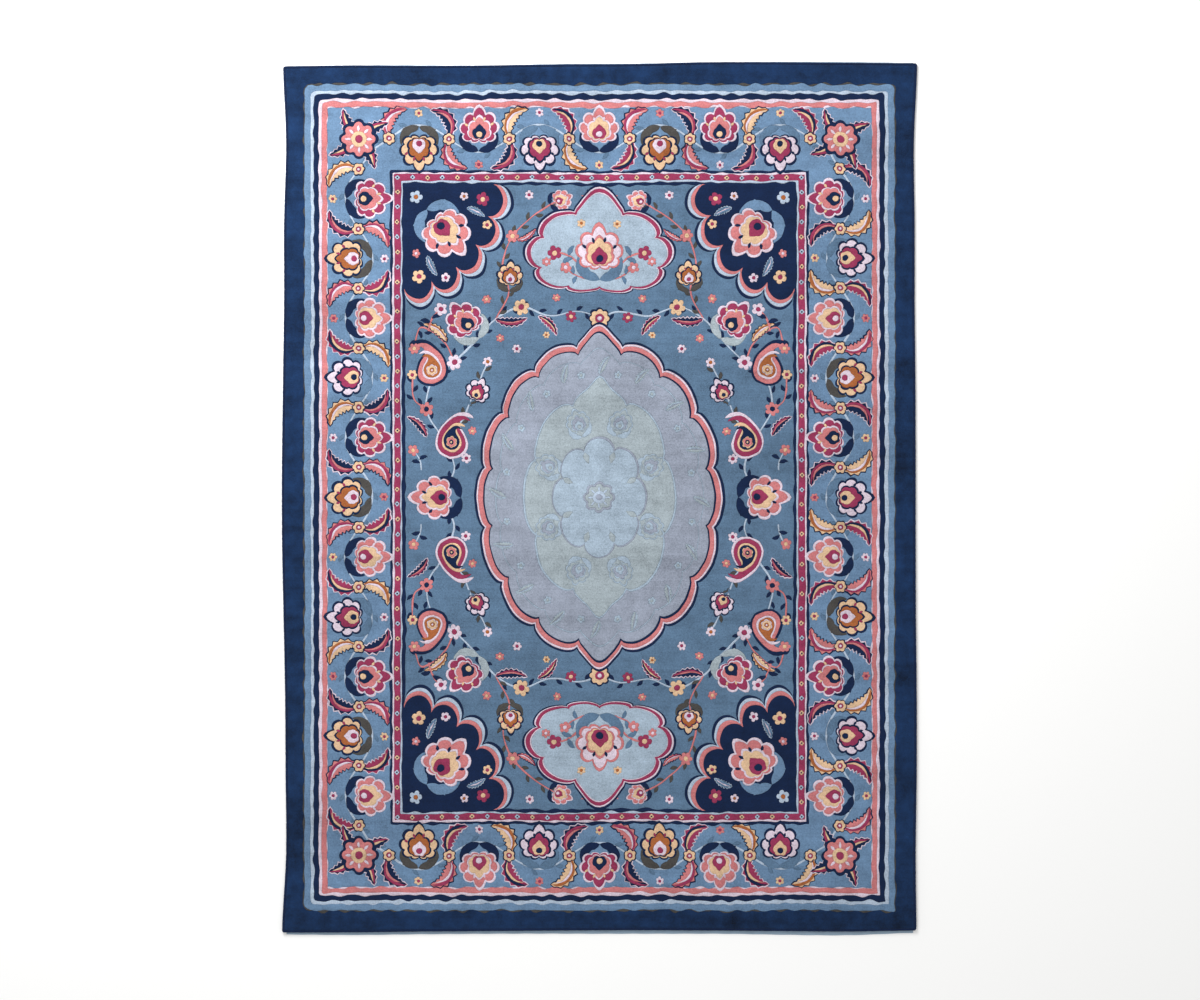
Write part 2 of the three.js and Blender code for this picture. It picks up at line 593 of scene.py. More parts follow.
SPANDREL_RINGS = (
    # reach across, reach along, yarn
    (0.425, 0.485, "navy"),
    (0.415, 0.475, "aqua"),
    (0.404, 0.464, "coral"),
    (0.389, 0.449, "navy"),
)
SPANDREL_FLOWERS = (
    # place in from the corner, size, petal, eye
    (0.300 + 0.052j, 0.027, "raspberry", "peach"),
    (0.052 + 0.350j, 0.027, "peach", "raspberry"),
    (0.228 + 0.040j, 0.017, "pink", "rust"),
    (0.040 + 0.262j, 0.017, "coral", "pink"),
    (0.315 + 0.150j, 0.019, "peach", "raspberry"),
    (0.155 + 0.355j, 0.019, "pink", "raspberry"),
    (0.040 + 0.045j, 0.026, "aqua", "rust"),
)
SPANDREL_LEAVES = (
    # place in from the corner, size, turn, bend
    (0.238 + 0.086j, 0.075, 1.75, -0.5),
    (0.086 + 0.275j, 0.080, 2.95, 0.5),
)


def spandrel():
    """The quarter of a second medallion in one corner of the field."""
    corner = complex(HALF_WIDTH - FIELD_FROM, HALF_LENGTH - FIELD_FROM)
    lobes = 5
    share = np.linspace(0, 1, lobes * 18 + 1)
    angle = share * TAU / 4
    shape = scallops(TAU * (share * lobes - 0.5) / lobes, lobes, 0.12)
    patches = []
    for level, (across, along, yarn) in enumerate(SPANDREL_RINGS):
        rim = corner - shape * (across * np.cos(angle) + 1j * along * np.sin(angle))
        over = 0.0018 * level  # each covers the straight edges of the one below
        patches.append((np.append(corner, rim) + over + 1j * over, yarn))
    for at, size, turn, bend in SPANDREL_LEAVES:
        blade = feathered_leaf("aqua", "field_blue", "border_blue", "pink", bend, 0.34)
        patches += moved(blade, corner - at, size, turn)
    diagonal = np.angle(-0.40 - 0.46j) - math.pi / 2
    large_flower = palmette("pink", "coral", "peach", "raspberry", "navy", "border_blue")
    patches += moved(large_flower, corner - 0.075 - 0.086j, 0.215, diagonal)
    for at, size, petal, eye in SPANDREL_FLOWERS:
        patches += moved(small_flower(petal, eye), corner - at, size, turn=at.real * 9)
    return patches


VINES = (
    # half width, yarn, leaves, places along it
    (0.0036, "aqua", "navy", (
        0.600 + 0.02j, 0.560 + 0.12j, 0.612 + 0.24j, 0.668 + 0.34j, 0.640 + 0.46j, 0.560 + 0.52j,
        0.470 + 0.61j, 0.400 + 0.69j, 0.300 + 0.735j, 0.19 + 0.70j, 0.08 + 0.715j, -0.004 + 0.690j,
    )),
    (0.0032, "coral", "navy", (0.560 + 0.52j, 0.60 + 0.60j, 0.685 + 0.655j, 0.715 + 0.58j)),
    (0.0032, "coral", "charcoal", (
        0.400 + 0.69j, 0.350 + 0.79j, 0.372 + 0.90j, 0.335 + 1.01j, 0.25 + 1.09j, 0.15 + 1.15j,
    )),
    (0.0032, "aqua", "charcoal", (0.612 + 0.24j, 0.535 + 0.29j, 0.500 + 0.37j, 0.430 + 0.52j)),
    (0.0032, "coral", "navy", (0.668 + 0.34j, 0.715 + 0.38j, 0.722 + 0.47j)),
)
FIELD_PALMETTE = ("pink", "raspberry", "coral", "navy", "peach", "sage")
FIELD_FLOWERS = (
    # place, size, petal, eye
    (0.668 + 0.340j, 0.028, "coral", "navy"),
    (0.560 + 0.520j, 0.030, "pink", "raspberry"),
    (0.300 + 0.735j, 0.032, "peach", "raspberry"),
    (0.715 + 0.575j, 0.022, "coral", "peach"),
    (0.335 + 1.010j, 0.026, "coral", "peach"),
    (0.515 + 0.150j, 0.020, "pink", "raspberry"),
    (0.490 + 0.255j, 0.017, "coral", "peach"),
    (0.436 + 0.765j, 0.018, "coral", "peach"),
    (0.110 + 0.695j, 0.022, "raspberry", "peach"),
    (0.722 + 0.475j, 0.020, "peach", "raspberry"),
    (0.270 + 1.165j, 0.018, "pink", "raspberry"),
    (0.430 + 0.520j, 0.020, "pink", "rust"),
    (0.385 + 0.615j, 0.017, "coral", "peach"),
    (0.318 + 0.575j, 0.018, "pink", "raspberry"),
    (0.205 + 0.628j, 0.014, "peach", "rust"),
    (0.165 + 0.770j, 0.016, "coral", "peach"),
    (0.455 + 0.880j, 0.017, "peach", "raspberry"),
    (0.618 + 0.030j, 0.015, "peach", "rust"),
)


def field_plants():
    """What stands on the vines of one quarter: place, size, turn and motif."""
    red = boteh("pink", "raspberry", "peach", "navy", "coral")
    rust = boteh("navy", "coral", "pink", "rust", "peach")
    return (
        (0.578 + 0.150j, 0.185, 0.12, mirrored(red)),
        (0.640 + 0.430j, 0.185, -0.10, rust),
        (0.462 + 0.605j, 0.165, -0.66, palmette(*FIELD_PALMETTE)),
        (0.348 + 0.790j, 0.115, 0.05, palmette(*PALMETTE_YARNS[1])),
        (0.195 + 1.125j, 0.090, 1.15, palmette(*PALMETTE_YARNS[2])),
        (0.500 + 0.350j, 0.110, 0.45, palmette(*PALMETTE_YARNS[3])),
        (0.665 + 0.235j, 0.110, -0.35, feathered_leaf(*LEAF_YARNS[0])),
        (0.400 + 0.690j, 0.125, 2.00, feathered_leaf(*LEAF_YARNS[0])),
        (0.590 + 0.600j, 0.115, -0.45, feathered_leaf(*LEAF_YARNS[3])),
        (0.235 + 0.700j, 0.105, 1.95, mirrored(feathered_leaf(*LEAF_YARNS[2]))),
        (0.690 + 0.105j, 0.085, 0.05, spray("aqua", "coral", "peach", "navy")),
        (0.660 + 0.640j, 0.100, 0.10, spray("coral", "pink", "raspberry", "navy", -0.8)),
        (0.318 + 0.995j, 0.085, 1.50, feathered_leaf(*LEAF_YARNS[1])),
        (0.070 + 1.165j, 0.060, 1.60, spray("coral", "peach", "rust", "navy")),
    )


def field_quarter():
    """What grows in one quarter of the field, between medallion, pendant and corner."""
    patches = []
    for half_width, yarn, leaf_yarn, places in VINES:
        patches += leafy_vine(smooth_line(places), half_width, yarn, leaf_yarn)
    for at, size, turn, motif in field_plants():
        patches += moved(motif, at, size, turn)
    for at, size, petal, eye in FIELD_FLOWERS:
        patches += moved(small_flower(petal, eye, 6), at, size, turn=at.real * 8)
    return patches


def draw_chart():
    """Lays the whole design, from the outermost stripe to the medallion."""
    for set_back, radius, height, yarn in STRIPES:
        lay([(wavy(rectangle(set_back, radius), height), yarn)])
    main_border()
    inner_guard()
    side_flower = palmette("pink", "coral", "peach", "raspberry", "navy", "navy")
    side = moved(side_flower, 0.525, 0.19, -TAU / 4)
    quarter = field_quarter() + spandrel()
    for along in (False, True):
        for across in (False, True):
            lay(moved(mirrored(quarter, across, along), MIDDLE))
        lay(moved(mirrored(pendant(), False, along), MIDDLE))
    for across in (False, True):
        lay(moved(mirrored(side, across), MIDDLE))
    medallion()


# Hand work: nothing is drawn twice alike


def wander(places):
    """Places of the design, shifted as the loom, the weaver and later use have shifted them."""
    shift = np.zeros(len(places), complex)
    for wave in range(6):
        heading = np.exp(1j * (0.9 + 2.4 * wave))
        length = 0.055 * 1.55**wave
        phase = TAU * (places * heading.conjugate()).real / length + 1.7 * wave
        shift += np.exp(2.1j * wave) * np.sin(phase) * length**0.5
    return places + WANDER * shift


def by_hand(outline):
    """One patch as it was tufted, with its own small slips of the edge."""
    outline = without_doubles(outline)
    span = max(np.ptp(outline.real), np.ptp(outline.imag))
    slip = min(0.0008, 0.03 * span)
    share = np.arange(len(outline)) / len(outline)
    shift = np.zeros(len(outline))
    for waves in (2, 3, 5, 8):
        shift += np.sin(TAU * (waves * share + draws.random())) / 2
    start = slip * complex(*draws.uniform(-1, 1, 2))
    return wander(outline + start + slip * shift * outwards(outline))


def spared(outline, passes=8):
    """The outline without the places that its shape can do without. Corners show most on
    the large curves of the medallion, pendants and corner pieces, so they keep more."""
    span = max(np.ptp(outline.real), np.ptp(outline.imag))
    tolerance = FINE_CURVE if 0.20 < span < 1.5 else PLAIN_CURVE
    for _ in range(passes):
        before, after = np.roll(outline, 1), np.roll(outline, -1)
        chord = after - before
        off = abs(((outline - before) * chord.conjugate()).imag) / np.maximum(abs(chord), 1e-9)
        least = (off <= np.roll(off, 1)) & (off < np.roll(off, -1))
        idle = least & (off < tolerance) & (abs(chord) < 0.05)
        if not idle.any() or len(outline) - idle.sum() < 8:
            break
        outline = outline[~idle]
    return outline


# The rug's own outline


def evenly(outline, step):
    """A closed outline with a point at every step."""
    closed = np.append(outline, outline[0])
    length = np.concatenate([[0], np.cumsum(abs(np.diff(closed)))])
    at = np.linspace(0, length[-1], round(length[-1] / step), endpoint=False)
    return np.interp(at, length, closed.real) + 1j * np.interp(at, length, closed.imag)


def cloth_outline(step):
    """The edge of the pile cloth in the frame, with its corners a little softened."""
    wall_foot = {
        complex(round(v.co.x, 5), round(v.co.y, 5))
        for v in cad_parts["pile_cloth"].data.vertices
        if abs(v.co.z - CLOTH_LOW.z - RIM_FOOT) < 0.0005
    }
    stations = np.array(sorted(wall_foot, key=lambda place: np.angle(place - MIDDLE)))
    outline = evenly(stations, 0.004)
    for _ in range(6):
        outline = (np.roll(outline, 1) + 2 * outline + np.roll(outline, -1)) / 4
    return evenly(outline, step)


CREASES = (
    # from, to, height: soft ridges that folding left in the pile
    (-0.62 + 0.35j, -0.20 + 0.62j, 0.0004),
    (0.52 + 0.42j, 0.63 + 0.28j, 0.0005),
    (-0.15 - 0.30j, 0.40 - 0.05j, 0.0004),
    (-0.95 - 0.72j, 0.95 - 0.70j, 0.0003),
    (-0.95 + 0.18j, 0.95 + 0.20j, 0.0003),
)


def pile_height(places):
    """How high the pile stands: a little uneven all over, with faint creases."""
    height = np.full(len(places), PILE_TOP)
    for wave in range(7):
        heading = np.exp(1j * (0.4 + 1.9 * wave))
        length = 0.09 * 1.5**wave
        phase = TAU * (places * heading.conjugate()).real / length + 2.3 * wave
        height += UNEVENNESS * np.sin(phase)
    for start, end, ridge in CREASES:
        along = end - start
        local = (places - MIDDLE - start) / along
        off = local.imag * abs(along)
        fade = np.clip(4 * np.minimum(local.real, 1 - local.real), 0, 1)
        height += ridge * fade * np.exp(-((off / 0.020) ** 2))
    return height


# The planar map: the rug cut along every outline of the chart


def cut_up(places, edges, rings):
    """Triangles over all the places, cut along the edges and rings: the places, the
    triangles, the sides, and which of the edges each side and which of the rings each
    triangle comes from."""
    flat = [Vector((place.real, place.imag)) for place in places]
    corners, sides, triangles, _, from_edges, from_rings = delaunay_2d_cdt(
        flat, edges, rings, 0, 1e-6, True
    )
    corners = np.array(corners) @ [1, 1j]
    return corners, np.array(triangles), np.array(sides), from_edges, from_rings


def areas(corners, triangles):
    """The area of each triangle, below 0 where it is turned over."""
    a, b, c = corners[triangles].T
    return ((b - a).conjugate() * (c - a)).imag / 2


def inside(outline, spots):
    """Which of the spots an outline goes round, even if it crosses itself somewhere."""
    ahead = np.roll(outline, -1)
    turn = np.angle((ahead[:, None] - spots) / (outline[:, None] - spots)).sum(axis=0)
    return abs(turn) > math.pi


def top_patches(corners, triangles, covering):
    """The number of the last patch of the chart over each triangle, or -1."""
    owner = np.repeat(np.arange(len(triangles)), [len(numbers) for numbers in covering])
    patch = np.fromiter(chain.from_iterable(covering), int)
    found = np.bincount(patch, areas(corners, triangles)[owner], len(chart))
    drawn = np.array([(o.conjugate() * np.roll(o, -1)).imag.sum() / 2 for o, _ in chart])
    # A patch whose outline crosses itself can be taken for all of the rug
    spilt = found > 1.2 * drawn + 1e-5
    top = np.full(len(triangles), -1)
    np.maximum.at(top, owner, np.where(spilt[patch], -1, patch))
    middles = corners[triangles].mean(axis=1)
    for number in np.flatnonzero(spilt):
        outline = chart[number][0]
        near = abs(middles - outline.mean()) < abs(outline - outline.mean()).max()
        spots = np.flatnonzero(near)
        spots = spots[inside(outline, middles[spots])]
        top[spots] = np.maximum(top[spots], number)
    return top


def height_places():
    """Loose places inside the rug, near enough to each other for its uneven height."""
    first, last = CLOTH_LOW.x + HEIGHT_GRID, CLOTH_HIGH.x - HEIGHT_GRID / 2
    across = np.arange(first, last, HEIGHT_GRID)
    first, last = CLOTH_LOW.y + HEIGHT_GRID, CLOTH_HIGH.y - HEIGHT_GRID / 2
    along = np.arange(first, last, HEIGHT_GRID)
    grid = (across[None, :] + 1j * along[:, None]).ravel()
    return grid + HEIGHT_GRID * 0.3 * draws.uniform(-1, 1, (len(grid), 2)) @ [1, 1j]


def planar_map():
    """The rug as triangles, each of one yarn. Where patches overlap, the last one shows.
    Returns the places, the triangles and the number of each one's yarn."""
    places, rings = [], []
    for outline, _ in chart:
        rings.append(list(range(len(places), len(places) + len(outline))))
        places.extend(outline)
    corners, triangles, _, _, covering = cut_up(places, [], rings)
    patch = top_patches(corners, triangles, covering)
    on_rug = patch >= 0
    triangles = triangles[on_rug]
    yarn = without_specks(corners, triangles, patch[on_rug])
    return without_hidden_places(corners, triangles, yarn)


def neighbours(triangles):
    """For each side of each triangle, the number of the neighbour's side on it, or -1."""
    start = triangles.ravel()
    end = np.roll(triangles, -1, axis=1).ravel()
    size = triangles.max() + 1
    key, twin_key = start * size + end, end * size + start
    order = np.argsort(key)
    spot = np.minimum(np.searchsorted(key[order], twin_key), len(key) - 1)
    twin = order[spot]
    return np.where(key[twin] == twin_key, twin, -1)


def linked(count, a, b):
    """Numbers 0 to count - 1, each replaced by the lowest that links a-b join it to."""
    label = np.arange(count)
    while True:
        low = np.minimum(label[a], label[b])
        np.minimum.at(label, a, low)
        np.minimum.at(label, b, low)
        shorter = label[label]
        if np.array_equal(shorter, label) and np.array_equal(label[a], label[b]):
            return label
        label = shorter


def open_sides(triangles, yarn):
    """The triangle and the neighbour's side of each side, and where another yarn or
    nothing lies across it."""
    twin = neighbours(triangles)
    owner = np.arange(triangles.size) // 3
    return owner, twin, (twin < 0) | (yarn[owner] != yarn[owner[twin]])


def without_specks(corners, triangles, patch):
    """The yarn of each triangle, with specks too small to tuft given to a neighbour."""
    names = list(YARNS)
    yarn = np.array([names.index(chart[k][1]) for k in patch])
    area = areas(corners, triangles)
    for _ in range(2):
        owner, twin, is_open = open_sides(triangles, yarn)
        island = linked(len(triangles), owner[~is_open], owner[twin[~is_open]])
        speck = np.bincount(island, area, len(triangles))[island] < SMALLEST_PATCH
        given = is_open & (twin >= 0) & speck[owner]
        yarn[owner[given]] = yarn[owner[twin[given]]]
    return yarn


def yarn_edges(triangles, yarn):
    """The sides where yarns meet or the rug ends, each once: the numbers of both its ends
    and the yarns to its left and right, -1 for none."""
    owner, twin, is_open = open_sides(triangles, yarn)
    side = np.arange(triangles.size)
    once = is_open & ((twin < 0) | (side < twin))
    ends = np.stack([triangles, np.roll(triangles, -1, axis=1)]).reshape(2, -1)[:, once]
    right = np.where(twin[once] < 0, -1, yarn[owner[twin[once]]])
    return ends, yarn[owner[once]], right


def without_hidden_places(corners, triangles, yarn):
    """The map cut anew, only along the sides where yarns meet and through height places."""
    ends, left, right = yarn_edges(triangles, yarn)
    used, spot = np.unique(ends, return_inverse=True)
    ends = spot.reshape(ends.shape)
    places = np.concatenate([corners[used], height_places()])
    corners, triangles, sides, from_edges, _ = cut_up(places, ends.T.tolist(), [])
    edge = np.array([min(numbers, default=-1) for numbers in from_edges])
    cuts, edge = sides[edge >= 0], edge[edge >= 0]

    # The yarns on both sides of each cut tell those of the triangles beside it, and these
    # the yarn of the triangles that no cut parts from them
    before = places[ends[1, edge]] - places[ends[0, edge]]
    now = corners[cuts[:, 1]] - corners[cuts[:, 0]]
    same_way = (before.conjugate() * now).real > 0
    ahead = np.where(same_way, left[edge], right[edge])
    back = np.where(same_way, right[edge], left[edge])
    beside = np.concatenate([ahead, back])
    size = len(corners)
    key = np.concatenate([cuts @ [size, 1], cuts @ [1, size]])
    order = np.argsort(key)
    own_key = triangles.ravel() * size + np.roll(triangles, -1, axis=1).ravel()
    spot = order[np.minimum(np.searchsorted(key[order], own_key), len(key) - 1)]
    is_cut = key[spot] == own_key
    twin = neighbours(triangles)
    side = np.arange(triangles.size)
    joined = (twin >= 0) & ~is_cut
    island = linked(len(triangles), side[joined] // 3, twin[joined] // 3)
    yarn = np.full(len(triangles), -1)
    yarn[island[side[is_cut] // 3]] = beside[spot[is_cut]]
    yarn = yarn[island]
    return corners, triangles[yarn >= 0], yarn[yarn >= 0]


def pile_corners(triangles, twin, is_open):
    """A number for each triangle's corner. Corners share it where the same pile goes on
    across a side, so two patches that only touch at a point stay apart."""
    side = np.arange(triangles.size)
    following = side // 3 * 3 + (side + 1) % 3
    first, second = side[~is_open], twin[~is_open]
    a = np.concatenate([first, following[first]])
    b = np.concatenate([following[second], second])
    return linked(triangles.size, a, b).reshape(-1, 3)


def rim_shift(places, corner, starts, ends, depth):
    """How each corner on a rim moves inwards to round the pile off: by depth, or less where
    the patch is narrow."""
    direction = places[ends] - places[starts]
    direction /= abs(direction)
    inward = np.zeros(len(places), complex)
    np.add.at(inward, starts, 1j * direction)
    np.add.at(inward, ends, 1j * direction)
    inward /= np.maximum(abs(inward), 1e-9)
    area = areas(places, corner)
    reach = depth.copy()
    for _ in range(14):
        thin = areas(places + inward * reach, corner) < 0.3 * area
        if not thin.any():
            break
        reach[np.unique(corner[thin])] *= 0.7
    return inward, reach


MAP_MARGIN = 0.01  # free space round the rug in the baked pictures
UNDER_SCALE, UNDER_FROM = 0.34, 0.74  # undersides are smaller there, and beside the tops


def mapped(place, under):
    """The place of a face's corner in the baked pictures."""
    across = place.real - CLOTH_LOW.x + MAP_MARGIN
    along = place.imag - CLOTH_LOW.y + MAP_MARGIN
    whole = CLOTH_HIGH.y - CLOTH_LOW.y + 2 * MAP_MARGIN
    scale = np.where(under, UNDER_SCALE, 1.0) / whole
    return np.stack([across * scale + np.where(under, UNDER_FROM, 0.0), along * scale], axis=1)


def build_mesh(name, points, map_places, faces, under_faces):
    """A mesh from arrays of points, and of faces with equal numbers of corners."""
    mesh = bpy.data.meshes.new(name)
    points, map_places = np.concatenate(points), np.concatenate(map_places)
    groups = faces + under_faces
    corners = np.concatenate([group.ravel() for group in groups])
    sizes = np.concatenate([np.full(len(group), group.shape[1]) for group in groups])
    starts = np.concatenate([[0], np.cumsum(sizes)[:-1]])
    mesh.vertices.add(len(points))
    mesh.vertices.foreach_set("co", points.astype(np.float32).ravel())
    mesh.loops.add(len(corners))
    mesh.loops.foreach_set("vertex_index", corners.astype(np.int32))
    mesh.polygons.add(len(sizes))
    mesh.polygons.foreach_set("loop_start", starts.astype(np.int32))
    mesh.update(calc_edges=True)
    under = np.arange(len(corners)) >= sum(group.size for group in faces)
    places = np.where(under, points[corners] @ [1, 1j, 0], map_places[corners])
    layer = mesh.uv_layers.new(name="OFBake")
    layer.data.foreach_set("uv", mapped(places, under).astype(np.float32).ravel())
    return mesh


def at_height(places, height):
    """Points at a height above places on the rug."""
    return np.stack([places.real, places.imag, np.broadcast_to(height, places.shape)], axis=1)


def wall(lower, upper):
    """Faces between two rows of points, each row given as its stretches' starts and ends."""
    return np.stack([lower[0], lower[1], upper[1], upper[0]], axis=1)


# How pile rounds off, from its top: how far out, and how far down
EDGE_ROLL = ((0.30, 0.05), (0.62, 0.21), (0.87, 0.50), (1.0, 1.00))
CARVED_ROLL = ((0.94, 0.85),)


def pile_mesh(name, places, corner, open_side, edge_side):
    """The cut pile of one yarn, a closed body that stands on the foundation. Sides of its
    triangles are open where another yarn begins, and on the edge where the rug ends."""
    used, corner = np.unique(corner, return_inverse=True)
    corner = corner.reshape(-1, 3)
    places = places[used]
    after = np.roll(corner, -1, axis=1)
    on_edge = np.zeros(len(places), bool)
    on_edge[corner[edge_side]] = True
    on_edge[after[edge_side]] = True
    depth = np.where(on_edge, RIM_ROLL, CARVING)
    inward, reach = rim_shift(places, corner, corner[open_side], after[open_side], depth)
    top = pile_height(places)
    points = [at_height(places + inward * reach, top), at_height(places, PILE_FOOT)]
    # In the baked pictures the foot lies just outside the rim
    map_places = [places + inward * reach, places - 0.0008 * inward]
    total = 2 * len(places)
    faces = []
    for group, roll in ((open_side & ~edge_side, CARVED_ROLL), (edge_side, EDGE_ROLL)):
        upper = np.stack([corner[group], after[group]])
        foot = upper + len(places)
        rim, spot = np.unique(upper, return_inverse=True)
        spot = spot.reshape(upper.shape)
        for out, down in roll:
            ragged = RIM_RAGGED * draws.uniform(-1, 1, len(rim)) if roll is EDGE_ROLL else 0
            ring = places[rim] + inward[rim] * (reach[rim] * (1 - out) + ragged)
            points.append(at_height(ring, top[rim] - reach[rim] * down))
            map_places.append(ring)
            faces.append(wall(spot + total, upper))
            upper = spot + total
            total += len(rim)
        faces.append(wall(foot, upper))
    faces = [group for group in [corner, *faces] if len(group)]
    under = corner[:, ::-1] + len(places)
    return build_mesh(name, points, map_places, faces, [under])


def foundation_mesh(outline):
    """The woven cloth that the pile is knotted into, one flat slab with soft edges."""
    soft, top = FOUNDATION_ROUNDING, FOUNDATION_TOP
    rings = ((soft, 0.0), (0.0, soft), (0.0, top - soft), (soft, top))
    points, map_places, faces = [], [], []
    count = len(outline)
    number = np.arange(count)
    stretches = np.stack([number, (number + 1) % count])
    out = outwards(outline)
    for level, (inset, height) in enumerate(rings):
        points.append(at_height(outline - out * (FOUNDATION_SET_BACK + inset), height))
        map_places.append(outline - out * 0.001 * level)  # the edges lie spread out there
        if level:
            faces.append(wall(stretches + (level - 1) * count, stretches + level * count))
    faces.append(number[None, :] + 3 * count)
    under = number[None, ::-1]
    return build_mesh("woven_foundation", points, map_places, faces, [under])


BAND_THICKNESS = 0.0022
BAND_TUCK = 0.0026  # how far the band runs in under the pile
RIB_WIDTH = 0.0046
RIB_HOLLOW = 0.80  # height between two ribs, as a share of theirs
BAND_SECTION = (
    # share of the way out, share of the thickness
    (0.00, 0.50),
    (0.00, 0.12),
    (0.06, 0.00),
    (0.94, 0.00),
    (1.00, 0.20),
    (1.00, 0.52),
    (0.94, 0.82),
    (0.72, 0.96),
    (0.35, 1.00),
    (0.06, 0.92),
)


def band_mesh(node, outwards_along):
    """The woven band along one short end: ribs side by side over its whole length."""
    # The CAD band has two places at each station, one at its seam and one at its free edge
    spots = {(round(v.co.x, 5), round(v.co.y, 5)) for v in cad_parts[node].data.vertices}
    pairs = np.array(sorted(spots)).reshape(-1, 2, 2)
    seam_row, rim_row = (1, 0) if outwards_along < 0 else (0, 1)
    across = pairs[:, 0, 0]
    ribs = round((across[-1] - across[0]) / RIB_WIDTH)
    place = np.linspace(across[0], across[-1], 2 * ribs + 1)
    seam = np.interp(place, across, pairs[:, seam_row, 1]) - outwards_along * BAND_TUCK
    rim = np.interp(place, across, pairs[:, rim_row, 1])
    hollow = np.where(np.arange(len(place)) % 2, 1.0, RIB_HOLLOW)
    # The free edge is a little uneven, and drawn in between the ribs
    rim = rim - outwards_along * 0.0004 * (1 + np.sin(place * 61) + (1 - hollow) * 3)
    points, map_places = [], []
    for out, up in BAND_SECTION:
        along = seam + (rim - seam) * out
        height = BAND_THICKNESS * up * (hollow if up > 0.3 else 1.0)
        points.append(at_height(place + 1j * along, height))
        map_places.append(place + 1j * along)
    count, around = len(place), len(BAND_SECTION)
    column = np.arange(count - 1)
    stretches = np.stack([column, column + 1])
    faces = []
    for k in range(around):
        faces.append(wall(stretches + k * count, stretches + (k + 1) % around * count))
    near = np.arange(around)[None, :] * count
    faces += [near, near[:, ::-1] + count - 1]
    if outwards_along > 0:
        faces = [group[:, ::-1] for group in faces]
    under = [faces.pop(2)]  # the third stretch of the section
    return build_mesh(node.replace("_band", "_woven_band"), points, map_places, faces, under)


# Materials


def linear(hex_colour):
    """An sRGB hex colour as linear RGBA."""
    channels = [int(hex_colour[k : k + 2], 16) / 255 for k in (1, 3, 5)]
    curve = [c / 12.92 if c <= 0.04045 else ((c + 0.055) / 1.055) ** 2.4 for c in channels]
    return (*curve, 1.0)


def add_node(tree, kind, links=None, **settings):
    """A node with these settings. links sets its inputs, each to a value or to an output."""
    made = tree.nodes.new("ShaderNode" + kind)
    for name, value in settings.items():
        setattr(made, name, value)
    for name, value in (links or {}).items():
        if isinstance(value, bpy.types.NodeSocket):
            tree.links.new(value, made.inputs[name])
        else:
            made.inputs[name].default_value = value
    return made


def new_material(name):
    """A new material, its node tree and its shader."""
    material = bpy.data.materials.new(name)
    material.use_nodes = True
    return material, material.node_tree, material.node_tree.nodes["Principled BSDF"]


def added_up(tree, base, parts):
    """base plus each part's output times its weight."""
    total = base
    for output, weight in parts:
        links = {0: output, 1: weight, 2: total}
        total = add_node(tree, "Math", links, operation="MULTIPLY_ADD").outputs[0]
    return total


def dress(tree, shader, hex_colour, light, roughness, relief):
    """Gives a fabric's shader its colour in this light, its roughness and its relief."""
    shade = {"Value": light, "Color": linear(hex_colour)}
    coloured = add_node(tree, "HueSaturation", shade)
    bump = add_node(tree, "Bump", relief)
    tree.links.new(coloured.outputs[0], shader.inputs["Base Color"])
    tree.links.new(roughness, shader.inputs["Roughness"])
    tree.links.new(bump.outputs[0], shader.inputs["Normal"])


TUFT_WIDTH = 0.0032  # 2.5 mm on a real rug, and more here so that tufts show in the picture
TUFT_PUSH = 0.0022  # how strongly the fibres push it out of its row


